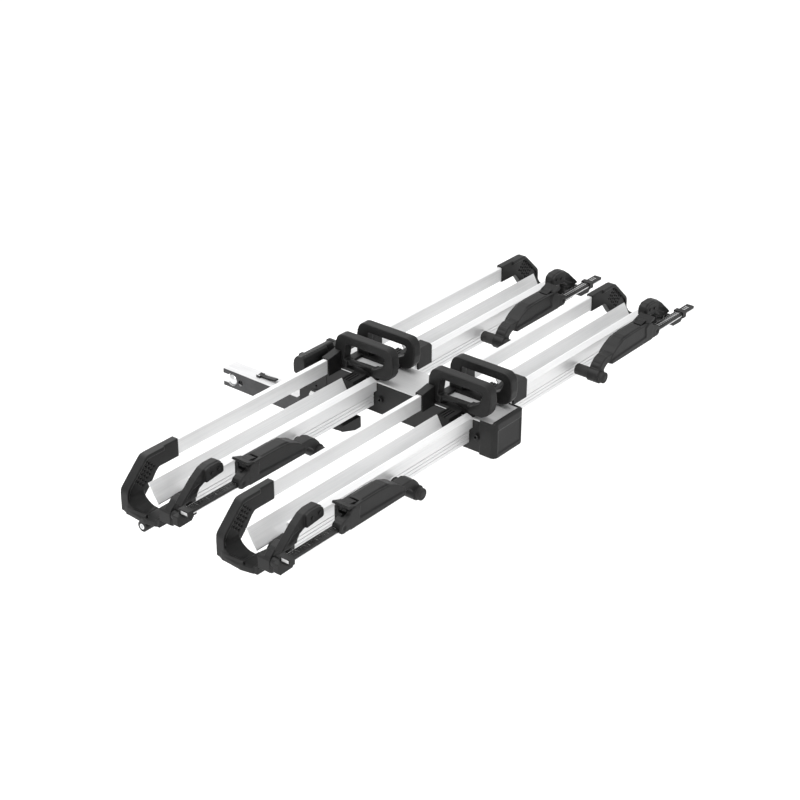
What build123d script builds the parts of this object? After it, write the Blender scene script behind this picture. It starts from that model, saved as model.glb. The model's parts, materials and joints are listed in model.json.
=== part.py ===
"""Two-bike platform rack for a 50.8 mm hitch receiver, with fold-down ratchet arms.

Frame: +X along the trays, +Y towards the vehicle, +Z up, millimetres.  The origin is the
centre of the hitch-pin bore, on the axis of the hitch bar.  Heights called *_z are from
that axis.  Each tray is described by the distance `out` from the centre plane, the height z
and the distance `rel` from the rear face of its back rail (negative towards the rear).
"""
from build123d import *
import os
from math import cos, radians, sin

# ---- driving dimensions -------------------------------------------------------------
TRAYS = {"front": -366.0, "rear": -651.0}  # Y of each back rail's rear face, 285 mm pitch
SIDES = {"left": -1, "right": 1}

HITCH_SIZE = 50.8
HITCH_WALL = 4.0
HITCH_TIP_Y = 60.0
HITCH_END_Y = -325.0
PIN_BORE_R = 8.0

PIVOT_Y, PIVOT_Z = -285.0, 75.0
PIVOT_BOLT_R = 8.0
EAR_R = 28.0
EAR_START_Y = -196.0
EAR_OUT = 32.0
BOSS_OUT = 46.6

SPINE_HALF = 53.0
SPINE_FRONT_Y, SPINE_REAR_Y = -321.0, -819.7
SPINE_BOTTOM_Z, SPINE_TOP_Z = 89.0, 171.0
SPINE_WALL = 3.0
DECK_Z = 174.0  # top of the spine plate, on which the trays stand

RAIL_IN, RAIL_OUT = 62.0, 640.0
RAIL_THICK, RAIL_HEIGHT, RAIL_WALL = 13.0, 38.0, 2.5
FRONT_RAIL_IN, FRONT_RAIL_OUT = 54.0, 660.0
TROUGH_IN = 113.0
FLANGE_OUT = {-1: 738.0, 1: 661.0}  # the V flange runs on into the left-hand hoops

END_OUT = 757.0
FLOOR_Z, FLOOR_TOP_Z = 98.0, 110.0
SEAM_REL = -97.0

ARM_OUT, ARM_Z = 735.0, 142.0  # where the arm's hinge axis crosses the seam
ARM_SKEW = 8.0  # degrees by which that axis leans, so that a raised arm crosses the wheel
ARM_PIN_R = 5.0
BAR_Z, BAR_THICK = 160.0, 9.0
BAR_REAR_REL, BAR_WIDE = -184.0, 21.0
BAR_END = {"left": 750.0, "right": 794.0}
HEAD_SHIFT = {"left": 0.0, "right": 20.0}
HEAD_IN, HEAD_OUT = 384.0, 568.0
HEAD_FRONT_REL, HEAD_REAR_REL = -144.0, -190.0
PAD_OUT, PAD_Z, PAD_R = 342.0, 138.0, 14.0
PAD_FRONT_REL, PAD_REAR_REL = -118.0, -199.0
TRIGGER_OUT, TRIGGER_Z = 548.0, 196.0

GAP = 0.3  # running clearance between bodies


def write(name, part):
    part.label = name
    export_step(part, f"parts/{name}.step")


def corners(points, side=1, base_y=None):
    """Turn (out, z) or (rel, z) pairs into sketch points."""
    if base_y is None:
        return [(side * a, b) for a, b in points]
    return [(base_y + a, b) for a, b in points]


def prism(plane, depth, points, radius=0, mode=Mode.ADD):
    """Extrude a closed outline from a plane, in the current part."""
    with BuildSketch(plane) as profile:
        with BuildLine():
            if radius:
                FilletPolyline(*points, radius=radius, close=True)
            else:
                Polyline(*points, close=True)
        make_face()
    extrude(profile.sketch, amount=depth, dir=plane.z_dir, mode=mode)


def plane_y(y):
    """Upright plane across Y; extruding goes towards the rear."""
    return Plane.XZ.offset(-y)


def plane_x(x):
    return Plane.YZ.offset(x)


def low_x(side, inner, outer):
    return min(side * inner, side * outer)


def block(x0, x1, y0, y1, z0, z1, mode=Mode.ADD):
    """Box between two corners, in the current part."""
    with Locations(((x0 + x1) / 2, (y0 + y1) / 2, (z0 + z1) / 2)):
        Box(abs(x1 - x0), abs(y1 - y0), abs(z1 - z0), mode=mode)


def rod(axis, centre, radius, length, mode=Mode.ADD):
    """Cylinder centred on a point, along X or Y."""
    turn = (0, 90, 0) if axis == "x" else (90, 0, 0)
    with Locations(centre):
        Cylinder(radius, length, rotation=turn, mode=mode)


# ---- hitch bar and what it holds ------------------------------------------------------
BALL_Y, BALL_R, BALL_X = 30.0, 21.0, -7.4
BALL_WINDOW_R = 17.0
ROD_Z, ROD_R = 13.5, 4.0
KNOB_R, KNOB_LENGTH = 19.0, 32.0
LEVER_Y, LEVER_Z = -48.0, 29.0


def hitch_bar():
    half = HITCH_SIZE / 2
    inner = HITCH_SIZE - 2 * HITCH_WALL
    with BuildPart() as bar:
        with BuildSketch(plane_y(HITCH_TIP_Y)):
            RectangleRounded(HITCH_SIZE, HITCH_SIZE, 4)
            Rectangle(inner, inner, mode=Mode.SUBTRACT)
        extrude(amount=HITCH_TIP_Y - HITCH_END_Y)
        for side in SIDES.values():
            ear = plane_x(low_x(side, half, EAR_OUT))
            prism(ear, EAR_OUT - half,
                  [(EAR_START_Y, -10), (EAR_START_Y, 24), (-243, 67),
                   (PIVOT_Y - EAR_R, PIVOT_Z), (HITCH_END_Y, 22), (HITCH_END_Y, -10)])
            with BuildSketch(ear):
                with Locations((PIVOT_Y, PIVOT_Z)):
                    Circle(EAR_R)
            extrude(amount=EAR_OUT - half)
        rod("x", (0, PIVOT_Y, PIVOT_Z), 17, 2 * BOSS_OUT)
        rod("x", (0, PIVOT_Y, PIVOT_Z), PIVOT_BOLT_R + GAP, 2 * BOSS_OUT + 2, Mode.SUBTRACT)
        rod("x", (0, 0, 0), PIN_BORE_R, HITCH_SIZE + 2, Mode.SUBTRACT)
        rod("x", (-half, BALL_Y, 0), BALL_WINDOW_R, 3 * HITCH_WALL, Mode.SUBTRACT)
        block(-half - 1, 0.5 - inner / 2, BALL_Y, HITCH_TIP_Y + 1, -12, 12, Mode.SUBTRACT)
        block(-12, 12, HITCH_END_Y, HITCH_END_Y + 5, -half + 2, half - 2)
        rod("y", (0, HITCH_END_Y, ROD_Z), ROD_R + GAP, 20, Mode.SUBTRACT)
        for side in SIDES.values():
            block(side * 6.8, side * 10, LEVER_Y - 6, LEVER_Y + 6, half - 1, LEVER_Z + 4)
        rod("x", (0, LEVER_Y, LEVER_Z), 2 + GAP, 22, Mode.SUBTRACT)
    return bar.part


def anti_wobble_ball():
    with BuildPart() as ball:
        with Locations((BALL_X, BALL_Y, 0)):
            Sphere(BALL_R)
    return ball.part


def anti_wobble_rod():
    """Threaded rod that runs above the hitch-pin bore and ends in a wedge at the ball."""
    wedge_front = 10.5
    with BuildPart() as piece:
        rod("y", (0, (HITCH_END_Y - 4 + wedge_front) / 2, ROD_Z), ROD_R, wedge_front - HITCH_END_Y + 4)
        block(-10, 10, 0, wedge_front, PIN_BORE_R + 1.2, ROD_Z + ROD_R)
    return piece.part


def anti_wobble_knob():
    front = HITCH_END_Y - GAP
    with BuildPart() as knob:
        with BuildSketch(plane_y(front)):
            with Locations((0, ROD_Z)):
                Circle(KNOB_R)
            with Locations((0, ROD_Z)):
                with PolarLocations(KNOB_R + 3, 8):
                    Circle(5, mode=Mode.SUBTRACT)
        extrude(amount=KNOB_LENGTH)
        with BuildSketch(plane_y(front)):
            with Locations((0, ROD_Z)):
                Circle(ROD_R + 0.05)
        extrude(amount=12, mode=Mode.SUBTRACT)
    return knob.part


def latch_lever():
    with BuildPart() as lever:
        prism(plane_x(-6), 12, [(-43, 27), (-43, 32), (-70, 31.5), (-103, 35), (-105, 31), (-72, 27)],
              radius=1)
        rod("x", (0, LEVER_Y, LEVER_Z), 2, 20)
    return lever.part


# ---- pivot, spine and controls ----------------------------------------------------------
YOKE_IN, YOKE_OUT = 47.0, 54.0
HANDLE_Y, HANDLE_Z, SHAFT_R = -312.0, 186.0, 6.0
PEDAL_Y, PEDAL_Z = -400.0, 79.0


def pivot_bolt():
    with BuildPart() as bolt:
        rod("x", (0, PIVOT_Y, PIVOT_Z), PIVOT_BOLT_R, 2 * (YOKE_OUT + 8))
        for side in SIDES.values():
            with BuildSketch(plane_x(low_x(side, YOKE_OUT, YOKE_OUT + 10))):
                with Locations((PIVOT_Y, PIVOT_Z)):
                    RegularPolygon(13.5, 6)
            extrude(amount=10)
    return bolt.part


def pivot_yoke():
    bore = PIVOT_BOLT_R + 0.05
    with BuildPart() as yoke:
        for side in SIDES.values():
            cheek = [(SPINE_FRONT_Y, DECK_Z), (-232, DECK_Z), (-232, -26), (-300, -26), (-306, 0), (SPINE_FRONT_Y, 62)]
            prism(plane_x(low_x(side, YOKE_IN, YOKE_OUT)), YOKE_OUT - YOKE_IN, cheek, radius=9)
        block(-YOKE_OUT, YOKE_OUT, SPINE_FRONT_Y, -262, 168, DECK_Z)
        block(-YOKE_OUT, YOKE_OUT, SPINE_FRONT_Y, -317, SPINE_BOTTOM_Z, DECK_Z)
        block(-49.7, 49.7, -345, SPINE_FRONT_Y, 92.3, 167.7)
        block(-38, 38, -346, -325, 100, 160, Mode.SUBTRACT)
        for side in SIDES.values():
            block(side * 22, side * 29, HANDLE_Y - 8, HANDLE_Y + 8, DECK_Z, HANDLE_Z + 9)
        rod("x", (0, HANDLE_Y, HANDLE_Z), SHAFT_R + GAP, 66, Mode.SUBTRACT)
        rod("x", (0, PIVOT_Y, PIVOT_Z), bore, 120, Mode.SUBTRACT)
        with Locations((0, PIVOT_Y, 170)):
            Cylinder(4 + GAP, 20, mode=Mode.SUBTRACT)
        rod("x", (0, -288, 100), 3, 120, Mode.SUBTRACT)
    return yoke.part


def spine():
    width = 2 * SPINE_HALF
    height = SPINE_TOP_Z - SPINE_BOTTOM_Z
    middle_z = (SPINE_TOP_Z + SPINE_BOTTOM_Z) / 2
    with BuildPart() as tube:
        with BuildSketch(plane_y(SPINE_FRONT_Y)):
            with Locations((0, middle_z)):
                RectangleRounded(width, height, 3)
                Rectangle(width - 2 * SPINE_WALL, height - 2 * SPINE_WALL, mode=Mode.SUBTRACT)
        extrude(amount=SPINE_FRONT_Y - SPINE_REAR_Y)
        for side in SIDES.values():
            block(side * 44, side * 50, PEDAL_Y - 9, PEDAL_Y + 9, PEDAL_Z - 9, SPINE_BOTTOM_Z + 1)
        rod("x", (0, PEDAL_Y, PEDAL_Z), 5 + GAP, 104, Mode.SUBTRACT)
    return tube.part


def spine_plate():
    with BuildPart() as plate:
        block(-SPINE_HALF, SPINE_HALF, SPINE_FRONT_Y, SPINE_REAR_Y, SPINE_TOP_Z, DECK_Z)
    return plate.part


def rear_end_cap():
    with BuildPart() as cap:
        block(-56.5, 56.5, -786, -831, 87, 181)
        fillet(cap.edges().filter_by(Axis.Y), 10)
        fillet(cap.faces().sort_by(Axis.Y)[0].edges(), 8)
        block(-SPINE_HALF, SPINE_HALF, -780, -820, SPINE_BOTTOM_Z, 190, Mode.SUBTRACT)
    return cap.part


def tilt_handle():
    """Paddle on a cross shaft, with a fork under the head of the tilt pin."""
    with BuildPart() as handle:
        paddle = [(-335, 177), (-335, 212), (-328, 225), (-306, 222), (-299, 206), (-299, 178), (-318, 172)]
        shoulder = [(-331, 198), (-331, 214), (-327, 225), (-306, 222), (-300, 206), (-300, 192)]
        prism(plane_x(-147), 87, paddle, radius=5)
        fillet(handle.faces().sort_by(Axis.X)[0].edges(), 4)
        prism(plane_x(-62), 29, shoulder, radius=4)
        rod("x", (-18, HANDLE_Y, HANDLE_Z), SHAFT_R, 96)
        for side in SIDES.values():
            block(side * 5, side * 8.5, HANDLE_Y, PIVOT_Y - 4, HANDLE_Z - 2, HANDLE_Z + 2)
    return handle.part


def tilt_pin():
    """Cross bar held just above the ears of the hitch bar by a stem through the yoke."""
    with BuildPart() as pin:
        rod("x", (0, PIVOT_Y, PIVOT_Z + EAR_R + 6), 5, 92)
        with BuildSketch(Plane.XY.offset(PIVOT_Z + EAR_R + 6)):
            with Locations((0, PIVOT_Y)):
                Circle(4)
        extrude(amount=HANDLE_Z + 6 - PIVOT_Z - EAR_R - 6)
        with BuildSketch(Plane.XY.offset(HANDLE_Z + 2.5)):
            with Locations((0, PIVOT_Y)):
                Circle(9)
        extrude(amount=3.5)
    return pin.part


def foot_pedal():
    with BuildPart() as pedal:
        prism(plane_y(-406), 30, [(-128, 54), (-128, 66), (-124, 69), (-61, 69), (-61, 33)])
        block(-70, -16, -412, -404, 60, 67)
        block(-43.5, -16, PEDAL_Y - 6, -412, 62, PEDAL_Z)
        rod("x", (0, PEDAL_Y, PEDAL_Z), 8, 87)
        rod("x", (0, PEDAL_Y, PEDAL_Z), 5, 99)
    return pedal.part


# ---- one tray -----------------------------------------------------------------------------
def hub(tray_y):
    """Casting on the deck that holds the inner ends of a tray's rails."""
    with BuildPart() as casting:
        block(-53.8, 53.8, tray_y - 112, tray_y + 18, DECK_Z, 181)
        block(-22, 22, tray_y - 92, tray_y - 4, DECK_Z - 1, 182, Mode.SUBTRACT)
        for side in SIDES.values():
            sleeve = [(50, 174), (50, 181), (55.2, 181), (55.2, 222), (84, 217), (99, 215), (99, 171), (54, 171),
                      (54, 174)]
            bracket = [(53, 176), (53, 181), (55.2, 181), (55.2, 184), (104, 184), (112, 146), (62, 146), (62, 176)]
            prism(plane_y(tray_y + 17), 21, corners(sleeve, side))
            prism(plane_y(tray_y - 50), 35, corners(bracket, side))
            block(side * RAIL_IN, side * 120, tray_y, tray_y + RAIL_THICK, DECK_Z, DECK_Z + RAIL_HEIGHT,
                  Mode.SUBTRACT)
            for rel in (-54, -62, -70):
                for z in (184, 146):
                    block(side * 66, side * 115, tray_y + rel, tray_y + rel - 3, z - 3, z + 3, Mode.SUBTRACT)
        prism(plane_y(tray_y - 84), 10.5,
              [(50, 174), (50, 180.8), (55.3, 180.8), (55.3, 190), (98, 200), (98, 184), (62, 183), (62, 176)])
        prism(plane_y(tray_y - 90), 29,
              [(55.3, 183), (55.3, 190), (98, 198), (106, 203), (142, 203), (150, 194), (150, 183)])
        block(98, 150, tray_y - 114.2, tray_y - 119, 147, 184)
    return casting.part


def centre_loop(side, tray_y):
    """Grab loop beside the spine, with a saddle bar below its opening."""
    with BuildPart() as loop:
        face = plane_x(low_x(side, 27, 53))
        outline = [(17, 181), (14, 265), (-163, 265), (-160, 203), (-134, 181)]
        opening = [(-17, 242), (-12, 199), (-104, 201), (-129, 215), (-138, 242)]
        prism(face, 26, corners(outline, 1, tray_y), 12)
        prism(face, 26, corners(opening, 1, tray_y), 6, Mode.SUBTRACT)
        with BuildSketch(face):
            with BuildLine():
                start, top, end = corners([(-12, 181), (-50, 188), (-90, 181)], 1, tray_y)
                ThreePointArc(start, top, end)
                Line(end, start)
            make_face()
        extrude(amount=26, mode=Mode.SUBTRACT)
        for inner, outer in ((25, 33), (47, 55)):
            block(side * inner, side * outer, tray_y - 20, tray_y - 96, 180, 201, Mode.SUBTRACT)
    return loop.part


def back_rail(side, tray_y):
    with BuildPart() as rail:
        with BuildSketch(plane_x(low_x(side, RAIL_IN, RAIL_OUT))):
            with Locations((tray_y + RAIL_THICK / 2, DECK_Z + RAIL_HEIGHT / 2)):
                RectangleRounded(RAIL_THICK, RAIL_HEIGHT, 2)
                Rectangle(RAIL_THICK - 2 * RAIL_WALL, RAIL_HEIGHT - 2 * RAIL_WALL, mode=Mode.SUBTRACT)
        extrude(amount=RAIL_OUT - RAIL_IN)
    return rail.part


BOX_PROFILE = [(-95, 109), (-95, 181), (-99, 182), (-114, 176), (-114, 150), (-105, 146), (-105, 109)]
TROUGH_PROFILE = [(-95, 137), (-84, 138), (-68.5, 162.8), (-54.4, 187.8), (-57, 189.2), (-71, 164.3), (-86, 141),
                  (-95, 141)]


def front_rail(side, tray_y):
    """Box rail with a V flange on its inner side; the wheel stands in the V."""
    with BuildPart() as rail:
        with BuildSketch(plane_x(low_x(side, FRONT_RAIL_IN, FRONT_RAIL_OUT))):
            with BuildLine():
                Polyline(*corners(BOX_PROFILE, 1, tray_y), close=True)
            make_face()
            offset(amount=-2.8, mode=Mode.SUBTRACT)
        extrude(amount=FRONT_RAIL_OUT - FRONT_RAIL_IN)
        prism(plane_x(low_x(side, TROUGH_IN, FRONT_RAIL_OUT)), FRONT_RAIL_OUT - TROUGH_IN,
              corners(TROUGH_PROFILE, 1, tray_y))
        lip = [(-82.5, 144), (-68.5, 162.8), (-54.4, 187.8), (-57, 189.2), (-71, 164.3), (-82.5, 146.8)]
        lip_in, lip_out = FRONT_RAIL_OUT - 1, FLANGE_OUT[side]
        prism(plane_x(low_x(side, lip_in, lip_out)), lip_out - lip_in, corners(lip, 1, tray_y))
        for z in (118, 127, 136):
            x0, x1 = side * (FRONT_RAIL_IN - 1), side * (FRONT_RAIL_OUT + 1)
            block(x0, x1, tray_y - 103.8, tray_y - 106, z, z + 2, Mode.SUBTRACT)
    return rail.part


def end_hoop(side, tray_y):
    """Moulding that joins the two rails of a tray round the outside of the wheel."""
    with BuildPart() as hoop:
        wall = [(595, 171), (595, 216), (690, 216), (701, 212), (753, 161), (END_OUT, 152), (END_OUT, FLOOR_Z),
                (704, FLOOR_Z), (704, 119), (684, 136), (655, 171)]
        floor = [(704, 10), (END_OUT, 10), (762, -59), (755, -88), (744, SEAM_REL), (662, SEAM_REL), (662, -56),
                 (704, -48)]
        prism(plane_y(tray_y + 16), 17, corners(wall, side))
        block(side * 595, side * 655, tray_y, tray_y - 3, 171, 216)
        block(side * 594, side * RAIL_OUT, tray_y, tray_y + RAIL_THICK, DECK_Z, DECK_Z + RAIL_HEIGHT,
              Mode.SUBTRACT)
        prism(Plane.XY.offset(FLOOR_Z), FLOOR_TOP_Z - FLOOR_Z, [(side * out, tray_y + rel) for out, rel in floor])
        with BuildSketch(plane_x(low_x(side, 704, 754))):
            with BuildLine():
                start, end = (tray_y, 140), (tray_y - 32, FLOOR_TOP_Z - 1)
                bend = RadiusArc(start, end, 45)
                Polyline(end, (tray_y + 2, FLOOR_TOP_Z - 1), (tray_y + 2, 140), start)
            make_face()
        extrude(amount=50)
        kerb = [(660, FLOOR_Z), (660, 152), (702, 150), (726, 117), (752, 114), (752, FLOOR_Z)]
        socket = [(-118, FLOOR_Z), (-118, 150), (-95, 152), (-84, 140), (-66, 130), (-56, FLOOR_Z)]
        prism(plane_y(tray_y - 84), -SEAM_REL - 84, corners(kerb, side))
        prism(plane_x(low_x(side, FRONT_RAIL_OUT, 674)), 14, corners(socket, 1, tray_y))
    return hoop.part


def arm_plane(side, tray_y, along):
    """Plane square to an arm's hinge axis, that far along it towards the rear."""
    skew = radians(ARM_SKEW)
    axis = Vector(side * sin(skew), -cos(skew), 0)
    origin = Vector(side * ARM_OUT, tray_y + SEAM_REL, ARM_Z) + axis * along
    return Plane(origin=origin, x_dir=Vector(cos(skew), side * sin(skew), 0), z_dir=axis)


def horn(side, tray_y):
    """Front half of the wheel guide; its root carries the arm's hinge pin."""
    with BuildPart() as guide:
        root = [(702, 112), (702, 150), (748, 150), (752, 146), (752, 118), (744, 112)]
        neck = [(704, 140), (703, 150), (700, 166), (712, 174), (728, 168), (748, 152), (748, 140)]
        wing = [(736, 164), (724, 176), (690, 206), (664, 224), (624, 227), (609, 214), (609, 197), (662, 190),
                (678, 183), (686, 166), (712, 162)]
        prism(plane_y(tray_y + SEAM_REL), 33, corners(root, side), radius=3)
        prism(plane_y(tray_y - 112), 18, corners(neck, side), radius=2)
        prism(plane_y(tray_y - 130), 19, corners(wing, side), radius=3.5)
        prism(plane_y(tray_y - 149), 7, corners([(664, 221), (626, 224), (612, 213), (612, 199), (664, 192)], side),
              radius=3)
        with BuildSketch(arm_plane(side, tray_y, -10)):
            Circle(ARM_PIN_R + 0.05)
        extrude(amount=60, mode=Mode.SUBTRACT)
    return guide.part


def arm_pins():
    with BuildPart() as pins:
        for tray_y in TRAYS.values():
            for side in SIDES.values():
                with BuildSketch(arm_plane(side, tray_y, 4)):
                    Circle(ARM_PIN_R)
                extrude(amount=48)
    return pins.part


def pivot_block(side, tray_y):
    """Hinge block of an arm: a boss on the pin and a strap round the toothed bar."""
    with BuildPart() as hinge:
        with BuildSketch(arm_plane(side, tray_y, 37)):
            Circle(11)
        extrude(amount=24)
        foot = [(718, 140), (724, 133), (760, 132), (766, 138), (766, 159.4), (718, 159.4)]
        strap = [(736, 155), (752, 155), (752, 171.8), (736, 171.8)]
        prism(plane_y(tray_y - 154), 14, corners(foot, side), radius=2)
        prism(plane_y(tray_y - 159), 28, corners(strap, side), radius=1)
        block(side * 700, side * 790, tray_y + BAR_REAR_REL - GAP, tray_y + BAR_REAR_REL + BAR_WIDE + GAP,
              BAR_Z - GAP, BAR_Z + BAR_THICK + GAP, Mode.SUBTRACT)
        with BuildSketch(arm_plane(side, tray_y, 30)):
            Circle(ARM_PIN_R + GAP)
        extrude(amount=24, mode=Mode.SUBTRACT)
    return hinge.part


def arm_bar(side, side_name, tray_y):
    """Flat bar with a row of teeth along its top, on which the ratchet head runs."""
    inner, outer = 400 + HEAD_SHIFT[side_name], BAR_END[side_name]
    middle = tray_y + BAR_REAR_REL + BAR_WIDE / 2
    top = BAR_Z + BAR_THICK
    pitch = 8
    with BuildPart() as bar:
        block(side * inner, side * outer, tray_y + BAR_REAR_REL, tray_y + BAR_REAR_REL + BAR_WIDE, BAR_Z, top)
        steps = int((outer - inner - 16) / pitch)
        for step in range(steps):
            x = side * (inner + 10 + step * pitch)
            block(x - 2, x + 2, middle - 5, middle + 5, top - 2, top + 1, Mode.SUBTRACT)
    return bar.part


def ratchet_head(side, side_name, tray_y):
    """Ratchet box round the bar, its neck and the ring that holds the wheel pad."""
    shift = HEAD_SHIFT[side_name]
    body = [(384, 154), (388, 172), (408, 188), (436, 201), (552, 203), (566, 197), (568, 154)]
    neck = [(394, 180), (366, 181), (348, 170), (336, 156), (330, 140), (352, 140), (362, 154), (374, 160),
            (394, 158)]
    with BuildPart() as head:
        prism(plane_y(tray_y + HEAD_FRONT_REL), HEAD_FRONT_REL - HEAD_REAR_REL,
              corners([(out + shift, z) for out, z in body], side), radius=3)
        prism(plane_y(tray_y - 166), 24,
              corners([(560 + shift, z) for z in (155, 194)] + [(594 + shift, z) for z in (182, 156)], side))
        rod("y", (side * (588 + shift), tray_y - 178, 169), 14, 24)
        neck_face = plane_y(tray_y - 155)
        prism(neck_face, 33, corners([(out + shift, z) for out, z in neck], side))
        with BuildSketch(neck_face):
            with Locations((side * (PAD_OUT + shift), PAD_Z)):
                Circle(PAD_R + 4)
        extrude(amount=33)
        rod("y", (side * (PAD_OUT + shift), tray_y - 160, PAD_Z), PAD_R + 0.05, 120, Mode.SUBTRACT)
        block(side * (396 + shift), side * 800, tray_y + BAR_REAR_REL - GAP,
              tray_y + BAR_REAR_REL + BAR_WIDE + GAP, BAR_Z - GAP, BAR_Z + BAR_THICK + GAP, Mode.SUBTRACT)
        block(side * (528 + shift), side * (580 + shift), tray_y - 156, tray_y - 178, 184, 210, Mode.SUBTRACT)
        rod("y", (side * (TRIGGER_OUT + shift), tray_y - 167, TRIGGER_Z), 2.5 + GAP, 31, Mode.SUBTRACT)
    return head.part


def wheel_pad(side, side_name, tray_y):
    centre_x = side * (PAD_OUT + HEAD_SHIFT[side_name])
    with BuildPart() as pad:
        with BuildSketch(plane_y(tray_y + PAD_FRONT_REL)):
            with Locations((centre_x, PAD_Z)):
                Circle(PAD_R)
        extrude(amount=PAD_FRONT_REL - PAD_REAR_REL)
        chamfer(pad.edges().filter_by(GeomType.CIRCLE), 1.5)
    return pad.part


def trigger(side, side_name, tray_y):
    """Release lever in the top of a head; its ear stands over the outer end."""
    shift = HEAD_SHIFT[side_name]
    tongue = [(532, 190), (532, 203), (546, 207), (566, 207), (566, 190)]
    ear = [(548, 204), (560, 208), (574, 213), (577, 209), (570, 203), (556, 203)]
    with BuildPart() as lever:
        prism(plane_y(tray_y - 157), 20, corners([(out + shift, z) for out, z in tongue], side), radius=2)
        prism(plane_y(tray_y - 146), 42, corners([(out + shift, z) for out, z in ear], side))
        rod("y", (side * (TRIGGER_OUT + shift), tray_y - 167, TRIGGER_Z), 2.5, 29)
    return lever.part


def lock_body():
    tray_y = TRAYS["front"]
    with BuildPart() as body:
        rod("x", (-747, tray_y - 50, 88), 13, 24)
        block(-765, -730, tray_y - 70, tray_y - 30, FLOOR_Z, 110, Mode.SUBTRACT)
        rod("x", (-752, tray_y - 50, 88), 7, 24, Mode.SUBTRACT)
    return body.part


def lock_core():
    tray_y = TRAYS["front"]
    with BuildPart() as core:
        rod("x", (-750.5, tray_y - 50, 88), 6.7, 19)
        block(-761, -757, tray_y - 50.7, tray_y - 49.3, 84, 92, Mode.SUBTRACT)
    return core.part


def horn_screws():
    with BuildPart() as screws:
        for tray_y in TRAYS.values():
            for side in SIDES.values():
                for out, z in ((646, 208), (625, 211)):
                    rod("y", (side * out, tray_y - 157, z), 3.5, 2)
    return screws.part


def rail_bolts():
    with BuildPart() as bolts:
        for tray_y in TRAYS.values():
            for side in SIDES.values():
                x = side * (SPINE_HALF + 3)
                rod("x", (x, tray_y - 126, 130), 8, 6)
                with BuildSketch(plane_x(x - 4)):
                    with Locations((tray_y - 126, 130)):
                        RegularPolygon(3.5, 6)
                extrude(amount=8, mode=Mode.SUBTRACT)
    return bolts.part


def main():
    os.makedirs("parts", exist_ok=True)
    for make in (hitch_bar, anti_wobble_ball, anti_wobble_rod, anti_wobble_knob, latch_lever, pivot_bolt,
                 pivot_yoke, spine, spine_plate, rear_end_cap, tilt_handle, tilt_pin, foot_pedal, arm_pins,
                 lock_body, lock_core, horn_screws, rail_bolts):
        write(make.__name__, make())
    for tray, tray_y in TRAYS.items():
        write(f"{tray}_hub", hub(tray_y))
        for name, side in SIDES.items():
            place = f"{tray}_{name}"
            write(f"{place}_loop", centre_loop(side, tray_y))
            write(f"{place}_back_rail", back_rail(side, tray_y))
            write(f"{place}_front_rail", front_rail(side, tray_y))
            write(f"{place}_end_hoop", end_hoop(side, tray_y))
            write(f"{place}_horn", horn(side, tray_y))
            write(f"{place}_pivot_block", pivot_block(side, tray_y))
            write(f"{place}_arm_bar", arm_bar(side, name, tray_y))
            write(f"{place}_ratchet_head", ratchet_head(side, name, tray_y))
            write(f"{place}_wheel_pad", wheel_pad(side, name, tray_y))
            write(f"{place}_trigger", trigger(side, name, tray_y))


main()
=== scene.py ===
"""Looks of a two-bike hitch platform rack: materials, moulded details, studio and camera.

Shapes are given in millimetres, in the CAD frame.  `out` is the distance from the centre
plane, `rel` the distance from the rear face of a tray's back rail, negative to the rear.
"""
import json
import math
import bpy
import bmesh
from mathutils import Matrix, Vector


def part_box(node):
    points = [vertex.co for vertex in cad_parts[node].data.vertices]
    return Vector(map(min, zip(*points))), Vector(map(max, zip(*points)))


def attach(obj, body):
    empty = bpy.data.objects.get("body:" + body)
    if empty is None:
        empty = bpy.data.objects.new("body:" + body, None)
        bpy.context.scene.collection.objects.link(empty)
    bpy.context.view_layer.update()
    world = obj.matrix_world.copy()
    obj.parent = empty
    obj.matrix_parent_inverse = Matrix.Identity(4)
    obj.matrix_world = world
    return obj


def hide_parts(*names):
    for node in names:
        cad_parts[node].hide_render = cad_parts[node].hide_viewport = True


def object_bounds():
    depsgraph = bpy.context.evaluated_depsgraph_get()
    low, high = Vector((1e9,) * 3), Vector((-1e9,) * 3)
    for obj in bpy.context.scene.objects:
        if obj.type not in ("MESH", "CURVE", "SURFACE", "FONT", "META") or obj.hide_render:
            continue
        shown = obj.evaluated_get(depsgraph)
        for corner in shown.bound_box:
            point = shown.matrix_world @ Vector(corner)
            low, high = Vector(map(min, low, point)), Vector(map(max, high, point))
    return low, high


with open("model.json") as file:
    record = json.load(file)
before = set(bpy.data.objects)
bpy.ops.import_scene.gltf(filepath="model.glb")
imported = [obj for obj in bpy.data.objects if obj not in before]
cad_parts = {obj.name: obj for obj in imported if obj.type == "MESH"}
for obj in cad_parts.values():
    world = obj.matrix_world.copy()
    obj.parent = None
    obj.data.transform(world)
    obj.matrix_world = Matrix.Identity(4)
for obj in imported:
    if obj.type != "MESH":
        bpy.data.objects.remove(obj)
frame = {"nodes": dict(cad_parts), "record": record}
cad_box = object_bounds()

NODES = frame["nodes"]
MM = 0.001
TRAYS = ("front", "rear")
SIDES = {"left": -1, "right": 1}


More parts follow.
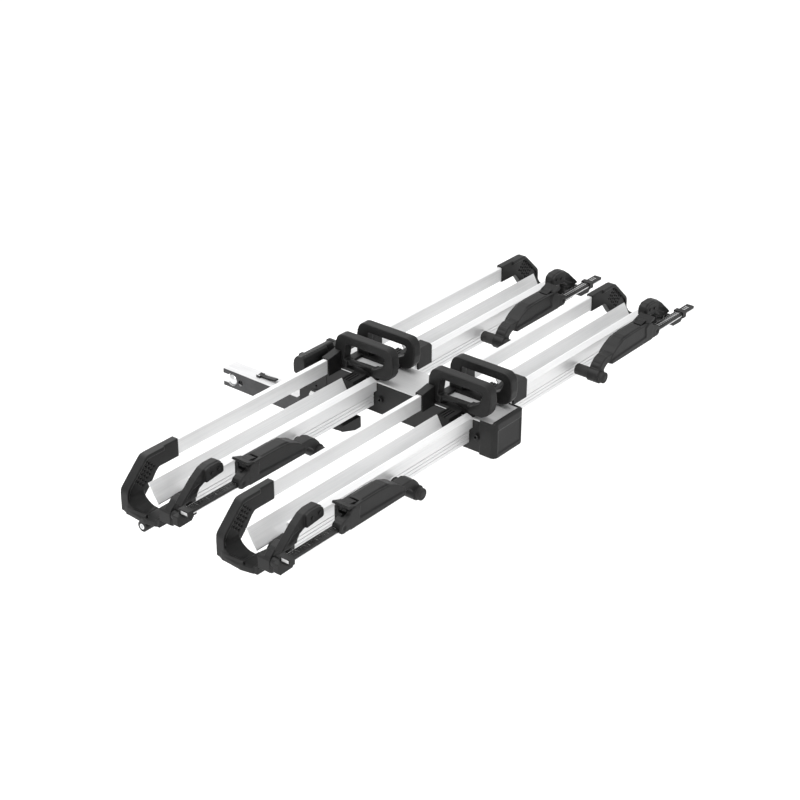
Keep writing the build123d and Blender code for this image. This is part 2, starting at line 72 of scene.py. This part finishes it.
# ---- node helpers ------------------------------------------------------------------------
class Shader:
    """A material's node tree with short calls for the nodes used here."""

    def __init__(self, name, **values):
        self.material = bpy.data.materials.new(name)
        self.material.use_nodes = True
        self.tree = self.material.node_tree
        self.surface = self.tree.nodes["Principled BSDF"]
        for key, value in values.items():
            self.surface.inputs[key.replace("_", " ")].default_value = value
        self.place = self.node("ShaderNodeTexCoord").outputs["Object"]

    def node(self, kind, **inputs):
        made = self.tree.nodes.new(kind)
        for key, value in inputs.items():
            self.feed(made.inputs[key], value)
        return made

    def feed(self, socket, value):
        if isinstance(value, bpy.types.NodeSocket):
            self.tree.links.new(value, socket)
        else:
            socket.default_value = value

    def scaled(self, x, y, z):
        return self.node("ShaderNodeMapping", Vector=self.place, Scale=(x, y, z)).outputs["Vector"]

    def noise(self, scale, detail=4.0, place=None):
        made = self.node("ShaderNodeTexNoise", Vector=place or self.place, Scale=scale, Detail=detail,
                         Roughness=0.55)
        return made.outputs["Fac"]

    def cells(self, scale):
        made = self.node("ShaderNodeTexVoronoi", Vector=self.place, Scale=scale)
        return made.outputs["Distance"]

    def ramp(self, value, stops):
        """Colour for a value, through (place, (r, g, b)) stops."""
        made = self.node("ShaderNodeValToRGB", Fac=value)
        elements = made.color_ramp.elements
        while len(elements) < len(stops):
            elements.new(0.5)
        for element, (place, colour) in zip(elements, stops):
            element.position = place
            element.color = (*colour, 1)
        return made.outputs["Color"]

    def span(self, value, low, high, start, end):
        """Map start..end to low..high, clamped."""
        made = self.node("ShaderNodeMapRange")
        self.feed(made.inputs["Value"], value)
        for key, number in (("From Min", start), ("From Max", end), ("To Min", low), ("To Max", high)):
            made.inputs[key].default_value = number
        return made.outputs["Result"]

    def sum(self, first, second, weight=1.0):
        """first + weight * second."""
        made = self.node("ShaderNodeMath")
        made.operation = "MULTIPLY_ADD"
        self.feed(made.inputs[0], second)
        made.inputs[1].default_value = weight
        self.feed(made.inputs[2], first)
        return made.outputs[0]

    def mix(self, factor, first, second):
        made = self.tree.nodes.new("ShaderNodeMix")
        made.data_type = "RGBA"
        self.feed(made.inputs[0], factor)
        self.feed(made.inputs[6], (*first, 1) if isinstance(first, tuple) else first)
        self.feed(made.inputs[7], (*second, 1) if isinstance(second, tuple) else second)
        return made.outputs[2]

    def edges(self):
        """1 on rubbed outer edges, 0 elsewhere."""
        point = self.node("ShaderNodeNewGeometry").outputs["Pointiness"]
        return self.span(point, 0.0, 1.0, 0.52, 0.62)

    def bump(self, height, strength, distance):
        made = self.node("ShaderNodeBump", Height=height, Strength=strength, Distance=distance)
        self.feed(self.surface.inputs["Normal"], made.outputs["Normal"])

    def set(self, **inputs):
        for key, value in inputs.items():
            self.feed(self.surface.inputs[key.replace("_", " ")], value)
        return self.material


GRAIN_DEPTH = 0.0002  # metres, for brushing, scratches and fine grain


def brushed_aluminium():
    """Extrusions, brushed along X."""
    s = Shader("brushed_aluminium", Metallic=0.55)
    lines = s.noise(1.0, 5.0, s.scaled(6, 900, 900))
    cloud = s.noise(7.0, 3.0)
    both = s.sum(lines, cloud, 0.6)
    s.bump(lines, 0.10, GRAIN_DEPTH)
    return s.set(Base_Color=s.ramp(both, [(0.45, (0.66, 0.665, 0.67)), (1.1, (0.80, 0.80, 0.80))]),
                 Roughness=s.span(both, 0.40, 0.58, 0.4, 1.2))


def plate_aluminium():
    """Deck plate, brushed along Y and greyer."""
    s = Shader("plate_aluminium", Metallic=0.5)
    lines = s.noise(1.0, 5.0, s.scaled(900, 6, 900))
    cloud = s.noise(9.0, 4.0)
    both = s.sum(lines, cloud, 0.7)
    s.bump(lines, 0.12, GRAIN_DEPTH)
    return s.set(Base_Color=s.ramp(both, [(0.45, (0.46, 0.465, 0.47)), (1.1, (0.58, 0.58, 0.58))]),
                 Roughness=s.span(both, 0.42, 0.6, 0.4, 1.2))


def black(name, dark, light, grain, depth, gloss, worn=0.0):
    """Black surface with a fine grain; `worn` lightens the rubbed edges of a dense mesh."""
    s = Shader(name, Specular_IOR_Level=gloss)
    fine = s.noise(grain * 1.7, 3.0)
    patches = s.noise(22.0, 5.0)
    body = s.ramp(patches, [(0.32, (dark,) * 3), (0.68, (light,) * 3)])
    if worn:
        body = s.mix(s.edges(), body, (worn,) * 3)
    s.bump(s.sum(s.cells(grain), fine, 0.5), depth, 0.00025)
    return s.set(Base_Color=body,
                 Roughness=s.span(s.sum(patches, fine, 0.3), 0.38, 0.58, 0.3, 1.0))


def dark_bar_painted_highlight():
    """Dark bar; its top and tip faces get a painted highlight chosen by face direction, streaked by scratch
    noise.
    """
    s = Shader("dark_bar_painted_highlight", Specular_IOR_Level=0.35)
    facing = s.node("ShaderNodeSeparateXYZ", Vector=s.node("ShaderNodeNewGeometry").outputs["Normal"])
    scratches = s.noise(1.0, 5.0, s.scaled(700, 12, 700))
    patches = s.noise(30.0, 4.0)
    # painted highlight mask: faces that point up (Z) or along +Y, picked by their normal
    top_highlight_mask, tip_highlight_mask = (s.span(s.sum(facing.outputs[axis], patches, 0.15), 0.0, 1.0, 0.72, 0.86)
                       for axis in "ZY")
    coat = s.ramp(patches, [(0.3, (0.022, 0.022, 0.023)), (0.7, (0.040, 0.040, 0.042))])
    # painted highlight colour for the top and tip faces, streaked by the scratch noise
    painted_highlight = s.ramp(scratches, [(0.3, (0.46, 0.46, 0.47)), (0.7, (0.62, 0.62, 0.62))])
    s.bump(scratches, 0.15, GRAIN_DEPTH)
    return s.set(Base_Color=s.mix(s.sum(top_highlight_mask, tip_highlight_mask), coat, painted_highlight),
                 Roughness=s.span(scratches, 0.35, 0.5, 0.3, 0.7))


def zinc_plate():
    s = Shader("zinc_plate", Metallic=1.0)
    patches = s.noise(90.0, 6.0)
    s.bump(s.noise(600.0, 3.0), 0.15, GRAIN_DEPTH)
    return s.set(Base_Color=s.ramp(patches, [(0.3, (0.42, 0.43, 0.44)), (0.7, (0.62, 0.62, 0.60))]),
                 Roughness=s.span(patches, 0.25, 0.45, 0.3, 0.7))


def polished_chrome():
    s = Shader("polished_chrome", Metallic=1.0)
    smears = s.noise(60.0, 5.0)
    s.bump(s.noise(300.0, 4.0), 0.03, GRAIN_DEPTH)
    return s.set(Base_Color=s.ramp(smears, [(0.3, (0.60, 0.61, 0.62)), (0.7, (0.74, 0.74, 0.74))]),
                 Roughness=s.span(smears, 0.06, 0.18, 0.3, 0.7))


def pad_rubber():
    s = Shader("pad_rubber", Specular_IOR_Level=0.3)
    fine = s.noise(1500.0, 4.0)
    dust = s.noise(40.0, 6.0)
    s.bump(fine, 0.3, GRAIN_DEPTH)
    return s.set(Base_Color=s.ramp(dust, [(0.35, (0.012, 0.012, 0.012)), (0.75, (0.034, 0.033, 0.032))]),
                 Roughness=s.span(dust, 0.6, 0.85, 0.3, 0.7))


FINISHES = {
    "silver_aluminium": brushed_aluminium(),
    "dark_metal": black("powder_coat", 0.0055, 0.011, 420.0, 0.22, 0.28),
    "zinc_steel": zinc_plate(),
    "chrome_steel": polished_chrome(),
    "black_plastic": black("smooth_plastic", 0.004, 0.009, 900.0, 0.3, 0.24),
    "pad_rubber": pad_rubber(),
}
PLATE = plate_aluminium()


def dress(obj, material):
    obj.data.materials.clear()
    obj.data.materials.append(material)
    for polygon in obj.data.polygons:
        polygon.material_index = 0


def soften(obj, width, segments=3):
    """Rounded edges with clean shading; the width is in metres."""
    for polygon in obj.data.polygons:
        polygon.use_smooth = True
    bevel = obj.modifiers.new("soft_edges", "BEVEL")
    bevel.width = width
    bevel.segments = segments
    bevel.limit_method = "ANGLE"
    bevel.angle_limit = math.radians(32)
    bevel.harden_normals = True


# ---- CAD nodes: finish and edges ---------------------------------------------------------
EDGE_MM = {"black_plastic": 1.6, "silver_aluminium": 0.5, "dark_metal": 0.8, "zinc_steel": 0.5,
           "chrome_steel": 0.2, "pad_rubber": 0.8}
for entry in frame["record"]["subparts"]:
    node, slot_name = entry["node"], entry["material_slot"]
    dress(NODES[node], FINISHES[slot_name])
    soften(NODES[node], EDGE_MM[slot_name] * MM)
dress(NODES["spine_plate"], PLATE)
# hitch bar: dark coat with a painted highlight on its top and tip faces
dress(NODES["hitch_bar"], dark_bar_painted_highlight())
dress(NODES["horn_screws"], FINISHES["dark_metal"])


# ---- moulding tools ----------------------------------------------------------------------
class Clay:
    """Closed shapes in millimetres, in one mesh, to be fused into a moulding or used as a cutter."""

    def __init__(self):
        self.mesh = bmesh.new()

    def place(self, axis, flat, along):
        """A point from its place along an axis and the other two coordinates."""
        a, b = flat
        return {"x": (along, a, b), "y": (a, along, b), "z": (a, b, along)}[axis]

    def prism(self, axis, start, end, points):
        """Outline in the plane across `axis`, as (x or y, y or z) pairs, between two places on it."""
        rings = [[self.mesh.verts.new(Vector(self.place(axis, p, along)) * MM) for p in points]
                 for along in (start, end)]
        count = len(points)
        self.mesh.faces.new(rings[0])
        self.mesh.faces.new(reversed(rings[1]))
        for i in range(count):
            j = (i + 1) % count
            self.mesh.faces.new((rings[0][i], rings[0][j], rings[1][j], rings[1][i]))
        return self

    def disc(self, axis, start, end, centre, radius, sides=40):
        turns = [2 * math.pi * i / sides for i in range(sides)]
        circle = [(centre[0] + radius * math.cos(t), centre[1] + radius * math.sin(t)) for t in turns]
        return self.prism(axis, start, end, circle)

    def box(self, x0, x1, y0, y1, z0, z1):
        return self.prism("z", z0, z1, [(x0, y0), (x1, y0), (x1, y1), (x0, y1)])

    def object(self, name):
        bmesh.ops.recalc_face_normals(self.mesh, faces=self.mesh.faces[:])
        data = bpy.data.meshes.new(name)
        self.mesh.to_mesh(data)
        self.mesh.free()
        obj = bpy.data.objects.new(name, data)
        bpy.context.scene.collection.objects.link(obj)
        return obj


def settle(obj):
    """Replace an object's mesh by the result of its modifiers."""
    bpy.context.view_layer.update()
    graph = bpy.context.evaluated_depsgraph_get()
    data = bpy.data.meshes.new_from_object(obj.evaluated_get(graph))
    obj.modifiers.clear()
    obj.data = data


def cut(obj, clay):
    """Take the shapes in `clay` away from an object."""
    cutter = clay.object(obj.name + "_cutter")
    difference = obj.modifiers.new("cut", "BOOLEAN")
    difference.operation = "DIFFERENCE"
    difference.solver = "EXACT"
    difference.use_self = True
    difference.object = cutter
    settle(obj)
    bpy.data.objects.remove(cutter)


def moulding(name, body, clay, cutter, replaces, voxel, rounds, keep=0.35):
    """Fuse closed shapes into one black moulding with blended corners.

    `voxel` is in millimetres, `rounds` smooths the corners and `keep` thins the mesh.
    """
    obj = clay.object(name)
    cut(obj, cutter)
    fuse = obj.modifiers.new("fuse", "REMESH")
    fuse.mode = "VOXEL"
    fuse.voxel_size = voxel * MM
    smooth = obj.modifiers.new("round", "SMOOTH")
    smooth.factor = 0.5
    smooth.iterations = rounds
    thin = obj.modifiers.new("thin", "DECIMATE")
    thin.ratio = keep
    settle(obj)
    finish_piece(obj, body, BLACK, replaces)


def finish_piece(obj, body, material, replaces=()):
    for polygon in obj.data.polygons:
        polygon.use_smooth = True
    obj.data.materials.clear()
    obj.data.materials.append(material)
    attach(obj, body)
    if replaces:
        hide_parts(*replaces)


def mirrored(points, side):
    """(out, z) pairs as (x, z)."""
    return [(side * out, z) for out, z in points]


def shifted(points, tray_y):
    """(rel, z) pairs as (y, z)."""
    return [(tray_y + rel, z) for rel, z in points]


def arc(centre, radius, start, end, steps=8):
    """Points on an arc, angles in degrees."""
    turns = [math.radians(start + (end - start) * i / steps) for i in range(steps + 1)]
    return [(centre[0] + radius * math.cos(t), centre[1] + radius * math.sin(t)) for t in turns]


BLACK = black("moulded_plastic", 0.004, 0.010, 900.0, 0.32, 0.26, 0.03)
RACK = black("toothed_rack", 0.007, 0.012, 1200.0, 0.2, 0.25)
TRAY_Y = {tray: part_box(f"{tray}_left_back_rail")[0].y / MM for tray in TRAYS}


# ---- end hoops ---------------------------------------------------------------------------
POCKET, POCKET_PITCH = 3.4, 9.5  # half diagonal and spacing of the pockets in a hoop's slope
SLOPE = 0.707  # sine and cosine of the slope's 45 degrees


def pockets(side, tray_y):
    """Cutter for the criss-cross pockets in the wheel side of a hoop's slope."""
    cutter = Clay()
    for row in range(4):
        for column in range(6):
            along = column * POCKET_PITCH - 4
            across = row * POCKET_PITCH + 9 + 3 * (column % 2)
            x, z = 668 + SLOPE * (along + across), 171 - SLOPE * (along - across)
            if 660 < x < 742 and z + x < 900 and z + 0.78 * x > 681:
                diamond = [(x - POCKET, z), (x, z + POCKET), (x + POCKET, z), (x, z - POCKET)]
                cutter.prism("y", tray_y - 9, tray_y + 4, mirrored(diamond, side))
    return cutter


def end_hoop(tray, side_name):
    side, tray_y = SIDES[side_name], TRAY_Y[tray]
    knee, foot = (686, 196), (735, 147)
    outer = [(595, 216), *arc(knee, 20, 90, 45, 4), *arc(foot, 21, 45, 0, 4), (756.5, 104), (750, 98.2)]
    inner = [(706, 98.2), (706, 117), (698, 124), (685, 137), (664, 164), (655, 171.2), (595, 171.2)]
    rim = [(640, 216), *outer[1:-1], (750, 105), (750, 147), *arc(foot, 12, 0, 45, 3),
           *arc(knee, 11, 45, 90, 3), (640, 207)]
    plan = [(706, 12), (752, 12), (757, 0), (761, -57), (755, -86), (744, -96.5), (662, -96.5),
            (662, -56), (706, -48)]
    bend = [(1, 150), *arc((-44, 153), 44, 0, -90, 8), (1, 108)]
    ledge = [(749, 99), (757.5, 99), (757, 118), (750, 118)]
    kerb = [(660, 98.3), (660, 152), (701, 149.5), (712, 137), (725, 118), (752, 114.5), (753, 98.3)]
    cover = [(-117.5, 98.5), (-117.5, 150), (-95, 152), (-84, 140), (-66, 130), (-57, 98.5)]
    clay = Clay().prism("y", tray_y - 2.8, tray_y + 15.8, mirrored(outer + inner, side))
    clay.prism("y", tray_y - 7, tray_y + 15.8, mirrored(rim, side))
    clay.prism("z", 98.3, 109.5, [(side * out, tray_y + rel) for out, rel in plan])
    clay.prism("x", side * 706, side * 755, shifted(bend, tray_y))
    clay.prism("y", tray_y - 60, tray_y, mirrored(ledge, side))
    clay.prism("y", tray_y - 84, tray_y - 96.8, mirrored(kerb, side))
    clay.prism("x", side * 660.2, side * 673.5, shifted(cover, tray_y))
    cutter = pockets(side, tray_y)
    groove = [(706, 112), (745, 112), (745, 108), (706, 108)]
    cutter.prism("y", tray_y - 50, tray_y - 46, mirrored(groove, side))
    place = f"{tray}_{side_name}"
    moulding(f"{place}_hoop_shell", "platform", clay, cutter, [f"{place}_end_hoop"],
             voxel=1.5, rounds=4)


# ---- horns -------------------------------------------------------------------------------
def horn(tray, side_name):
    side, tray_y = SIDES[side_name], TRAY_Y[tray]
    root = [(702.5, 112.5), (702.5, 149.5), (747, 149.5), (751.5, 146), (751.5, 118), (744, 112.5)]
    neck = [(704.5, 140), (703.5, 150), (700.5, 166), (712, 173.5), (728, 167.5), (747.5, 152), (747.5, 140)]
    guide = [(735, 165), (724, 176), (690, 206.5), (666, 223), (650, 227), (622, 226.5), (612, 220),
             (609, 212), (609, 198), (613, 195), (662, 190.5), (678, 183), (685, 174), (687, 166),
             (712, 162.5)]
    nose = [(664, 222), (650, 225.5), (624, 225), (613, 218), (611, 211), (611, 199), (614, 196.5),
            (664, 191.5)]
    relief = [(668, 195.5), (700, 189), (716, 175.5), (708, 172), (692, 180), (676, 190)]
    clay = Clay()
    for front, rear, outline in ((97.2, 130.5, root), (112.3, 129.8, neck), (129.5, 149, guide),
                                 (148, 156, nose)):
        clay.prism("y", tray_y - front, tray_y - rear, mirrored(outline, side))
    cutter = Clay()
    for out, z in ((646, 208), (625, 211)):
        cutter.disc("y", tray_y - 154.8, tray_y - 160, (side * out, z), 5, 24)
    cutter.prism("y", tray_y - 147.6, tray_y - 152, mirrored(relief, side))
    place = f"{tray}_{side_name}"
    moulding(f"{place}_horn_shell", "platform", clay, cutter, [f"{place}_horn"],
             voxel=1.3, rounds=4)


# ---- ratchet heads and their arms --------------------------------------------------------
HEAD_OUT = 602  # outer end of a left-hand head
PAD_CENTRE, BOSS_CENTRE = (342, 138), (588, 169)  # out and z, on a left-hand head


def neck_ribs():
    """Outlines of the slots between the ribs of a head's neck."""
    for step in range(5):
        turn = math.radians(100 + 17 * step)
        dx, dz = math.cos(turn), math.sin(turn)
        x, z = 372 + 38 * dx, 138 + 43 * dz
        yield [(x + along * dx - wide * dz, z + along * dz + wide * dx)
               for along, wide in ((-4, 1.3), (-4, -1.3), (9, -1.3), (9, 1.3))]


def ratchet_head(tray, side_name):
    side, tray_y = SIDES[side_name], TRAY_Y[tray]
    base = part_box(f"{tray}_{side_name}_ratchet_head")
    shift = max(abs(base[0].x), abs(base[1].x)) / MM - HEAD_OUT

    def spot(points):
        return [(side * (out + shift), z) for out, z in points]

    shell = [(384, 156), (387, 171), (397, 181), (409, 189), (436, 200.5), (470, 203), (548, 203),
             (560, 199), (566, 192), (567.5, 156), (564, 154.2), (390, 154.2)]
    flange = [(388, 154.2), (386, 163), (400, 166), (540, 170), (567.5, 176), (567.5, 154.2)]
    flare = [(540, 154.2), (536, 196), (548, 203), (560, 202), (567.5, 196), (567.5, 154.2)]
    wing = [(558, 155.5), (558, 194), (566, 193), (590, 184), (600, 176), (600, 160), (594, 156)]
    crown = [(414, 191), (438, 203), (452, 204.6), (520, 204.6), (530, 202), (530, 196), (430, 190)]
    neck = [(396, 180), (366, 181), (352, 175), (341, 164), (333, 150), (329, 140), (354, 140),
            (361, 153), (373, 161), (396, 159)]
    panel = [(410, 176), (440, 190), (520, 192), (520, 182), (420, 172)]
    (pad,), (boss,) = spot([PAD_CENTRE]), spot([BOSS_CENTRE])
    clay = Clay()
    for front, rear, outline in ((147, 187, shell), (144.2, 189.8, flange), (144.2, 189.8, flare),
                                 (166.4, 189.6, wing)):
        clay.prism("y", tray_y - front, tray_y - rear, spot(outline))
    clay.disc("y", tray_y - 166.4, tray_y - 189.8, boss, 13.7)
    clay.prism("y", tray_y - 153, tray_y - 181, spot(crown))
    clay.prism("y", tray_y - 157, tray_y - 186, spot(neck))
    clay.disc("y", tray_y - 155.5, tray_y - 187.5, pad, 17.5)
    cutter = Clay()
    bar_front, bar_rear = tray_y - 162.7, tray_y - 184.3
    cutter.box(side * (396 + shift), side * (800 + shift), bar_rear, bar_front, 159.7, 169.3)
    cutter.disc("y", tray_y - 187.8, tray_y - 195, boss, 5, 28)
    cutter.box(side * (527 + shift), side * (580 + shift), tray_y - 178.5, tray_y - 155.5, 184, 212)
    cutter.disc("y", tray_y - 130, tray_y - 200, pad, 14.2)
    for strip in neck_ribs():
        cutter.prism("y", tray_y - 161, tray_y - 182, spot(strip))
    cutter.prism("y", tray_y - 188.6, tray_y - 195, spot(panel))
    place = f"{tray}_{side_name}"
    moulding(f"{place}_head_shell", f"{place}_head", clay, cutter, [f"{place}_ratchet_head"],
             voxel=1.3, rounds=3, keep=0.4)


def wheel_pad(tray, side_name):
    """Rubber roller with a shallow ring near each end and a hub disc."""
    low, high = (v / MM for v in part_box(f"{tray}_{side_name}_wheel_pad"))
    x, z = (low.x + high.x) / 2, (low.z + high.z) / 2
    end = [(8.5, 0), (9, 1.2), (11.5, 1.2), (12.6, 0), (13.6, 0.5), (14, 1.6), (14, 5), (13.4, 5.6),
           (13.4, 7), (14, 7.6)]
    profile = end + [(radius, high.y - low.y - along) for radius, along in reversed(end)]
    turns = [2 * math.pi * i / 48 for i in range(48)]
    clay = Clay()
    rings = []
    for radius, along in profile:
        circle = [(x + radius * math.cos(t), low.y + along, z + radius * math.sin(t)) for t in turns]
        rings.append([clay.mesh.verts.new(Vector(point) * MM) for point in circle])
    for first, second in zip(rings, rings[1:]):
        for i in range(len(turns)):
            j = (i + 1) % len(turns)
            clay.mesh.faces.new((first[i], first[j], second[j], second[i]))
    clay.mesh.faces.new(rings[0])
    clay.mesh.faces.new(list(reversed(rings[-1])))
    obj = clay.object(f"{tray}_{side_name}_pad_roller")
    finish_piece(obj, f"{tray}_{side_name}_head", FINISHES["pad_rubber"],
                 [f"{tray}_{side_name}_wheel_pad"])


def rack(tray, side_name):
    """Dark toothed strip over the top and rear edge of an arm bar."""
    bar = f"{tray}_{side_name}_arm_bar"
    low, high = (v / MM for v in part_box(bar))
    ends = (low.x - 0.1, high.x - 1) if SIDES[side_name] < 0 else (low.x + 1, high.x - 0.1)
    clay = Clay().box(*ends, low.y - 0.12, high.y - 0.4, high.z - 1.5, high.z + 0.12)
    clay.box(*ends, low.y - 0.12, low.y + 1.2, low.z + 2.8, high.z - 1.4)
    cutter = Clay()
    pitch = 8
    for step in range(int((high.x - low.x - 20) / pitch)):
        x = low.x + 12 + step * pitch
        cutter.box(x - 2, x + 2, low.y + 5.5, high.y - 5.5, high.z - 0.6, high.z + 2)
    obj = clay.object(bar + "_rack")
    cut(obj, cutter)
    soften(obj, 0.1 * MM, 1)
    settle(obj)
    finish_piece(obj, f"{tray}_{side_name}_bar", RACK)


# ---- grab loops --------------------------------------------------------------------------
def grab_loop(tray, side_name):
    side, tray_y = SIDES[side_name], TRAY_Y[tray]
    outer = [(17, 181.3), (18, 214), (15, 242), *arc((-10, 242), 23, 10, 90, 5),
             *arc((-138, 242), 23, 90, 170, 5), (-163, 222), (-159, 201), (-150, 188), (-136, 181.3),
             (-92, 181.3), *arc((-51, 118), 70, 119, 61, 6), (-12, 181.3)]
    hole = [*arc((-24, 236), 7, 90, 0, 3), (-11.5, 198.5), (-60, 199), (-104, 201), (-129, 215),
            *arc((-131, 236), 7, 180, 90, 3)]
    clay = Clay().prism("x", side * 27.2, side * 52.8, shifted(outer, tray_y))
    cutter = Clay().prism("x", side * 20, side * 60, shifted(hole, tray_y))
    for near, far in ((20, 33), (47, 60)):
        cutter.box(side * near, side * far, tray_y - 96, tray_y - 20, 180, 200.5)
    place = f"{tray}_{side_name}"
    moulding(f"{place}_loop_handle", "platform", clay, cutter, [f"{place}_loop"],
             voxel=1.7, rounds=10)


# ---- rear cap and tilt handle ------------------------------------------------------------
def rear_cap():
    low, high = (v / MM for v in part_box("rear_end_cap"))
    deck_low, deck_high = (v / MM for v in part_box("spine_plate"))
    half, rear, inner = deck_high.x, low.y + 0.3, high.x - 0.3
    plan = [(-inner, high.y), (-inner, rear + 12), (-inner + 3, rear + 4), (-inner + 11, rear),
            (inner - 11, rear), (inner - 3, rear + 4), (inner, rear + 12), (inner, high.y)]
    clay = Clay().prism("z", low.z + 0.4, high.z - 3.5, plan)
    clay.box(low.x + 6, high.x - 6, low.y + 4, low.y + 11.6, high.z - 8, high.z)
    cutter = Clay().box(-half, half, deck_low.y - 0.3, high.y + 5, 89, 195)
    cutter.box(low.x + 13, high.x - 13, low.y - 5, low.y + 2.2, low.z + 12, high.z - 22)
    for step in range(4):
        z = low.z + 18 + step * 9
        cutter.box(high.x - 9, high.x - 7, low.y - 5, low.y + 2, z, z + 5)
    moulding("rear_cap_shell", "platform", clay, cutter, ["rear_end_cap"], voxel=1.5, rounds=6)


def handle_paddle():
    """Paddle and shoulder outlines are (y, z) pairs, since there is only one handle."""
    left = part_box("tilt_handle")[0].x / MM
    paddle = [(-335, 179), (-335, 212), (-331, 221), (-324, 224.5), (-308, 221.5), (-301, 212),
              (-299, 200), (-299.5, 180), (-308, 174), (-320, 172.3)]
    shoulder = [(-330.5, 199), (-330.5, 214), (-327, 223), (-322, 224.5), (-308, 221.5), (-301, 212),
                (-300.5, 193)]
    shaft = (-312, 186)
    clay = Clay().prism("x", left + 0.5, -60, paddle)
    clay.prism("x", -64, -33.3, shoulder)
    clay.disc("x", -66, 29.8, shaft, 5.9, 28)
    for side in SIDES.values():
        clay.box(side * 5, side * 8.5, shaft[0], -289.2, shaft[1] - 1.8, shaft[1] + 1.8)
    cutter = Clay()
    for step in range(6):
        x = left + 14 + step * 10
        cutter.box(x, x + 3, -331, -304, 222.2, 230)
    moulding("tilt_handle_grip", "handle", clay, cutter, ["tilt_handle"], voxel=1.4, rounds=4, keep=0.4)


# ---- make everything ---------------------------------------------------------------------
for tray in TRAYS:
    for side_name in SIDES:
        end_hoop(tray, side_name)
        horn(tray, side_name)
        ratchet_head(tray, side_name)
        wheel_pad(tray, side_name)
        rack(tray, side_name)
        grab_loop(tray, side_name)
rear_cap()
handle_paddle()


# ---- studio ------------------------------------------------------------------------------
FLOOR_DROP = 0.30  # metres from the lowest point of the rack to the floor
CENTRE = (0.0, -0.45, 0.15)  # what the softboxes point at
SOFTBOXES = {  # name: (place, size in metres, power in watts)
    "top_softbox": ((-0.6, 0.4, 3.4), 3.2, 72),
    "left_softbox": ((-3.6, -1.2, 1.7), 2.2, 34),
    "rear_softbox": ((1.6, 3.4, 2.2), 2.4, 42),
}
WORLD_STRENGTH = 1.03
CAMERA_PLACE, CAMERA_AIM = (-2.975, -2.939, 2.160), (-0.090, -0.581, 0.174)
LENS, SENSOR = 82.0, 36.0  # millimetres


def floor():
    mesh = bpy.data.meshes.new("floor")
    half = 60.0
    ground = [(-half, -half, 0), (half, -half, 0), (half, half, 0), (-half, half, 0)]
    mesh.from_pydata(ground, [], [(0, 1, 2, 3)])
    obj = bpy.data.objects.new("floor", mesh)
    bpy.context.scene.collection.objects.link(obj)
    obj.location.z = cad_box[0][2] - FLOOR_DROP
    s = Shader("pale_floor", Roughness=0.9)
    pale = s.ramp(s.noise(1.5), [(0.3, (0.93, 0.93, 0.93)), (0.7, (0.955, 0.955, 0.955))])
    mesh.materials.append(s.set(Base_Color=pale))


def area_light(name, place, target, size, power):
    light = bpy.data.lights.new(name, "AREA")
    light.shape = "DISK"
    light.size = size
    light.energy = power
    obj = bpy.data.objects.new(name, light)
    obj.location = place
    obj.rotation_euler = (Vector(target) - Vector(place)).to_track_quat("-Z", "Y").to_euler()
    bpy.context.scene.collection.objects.link(obj)


def studio():
    floor()
    for name, (place, size, power) in SOFTBOXES.items():
        area_light(name, place, CENTRE, size, power)
    world = bpy.data.worlds.new("studio")
    world.use_nodes = True
    world.node_tree.nodes["Background"].inputs["Color"].default_value = (1, 1, 1, 1)
    world.node_tree.nodes["Background"].inputs["Strength"].default_value = WORLD_STRENGTH
    bpy.context.scene.world = world
    bpy.context.scene.view_settings.view_transform = "Standard"


def camera():
    data = bpy.data.cameras.new("camera")
    data.lens = LENS
    data.sensor_width = SENSOR
    obj = bpy.data.objects.new("camera", data)
    obj.location = CAMERA_PLACE
    obj.rotation_euler = (Vector(CAMERA_AIM) - obj.location).to_track_quat("-Z", "Y").to_euler()
    bpy.context.scene.collection.objects.link(obj)
    bpy.context.scene.camera = obj


studio()
camera()
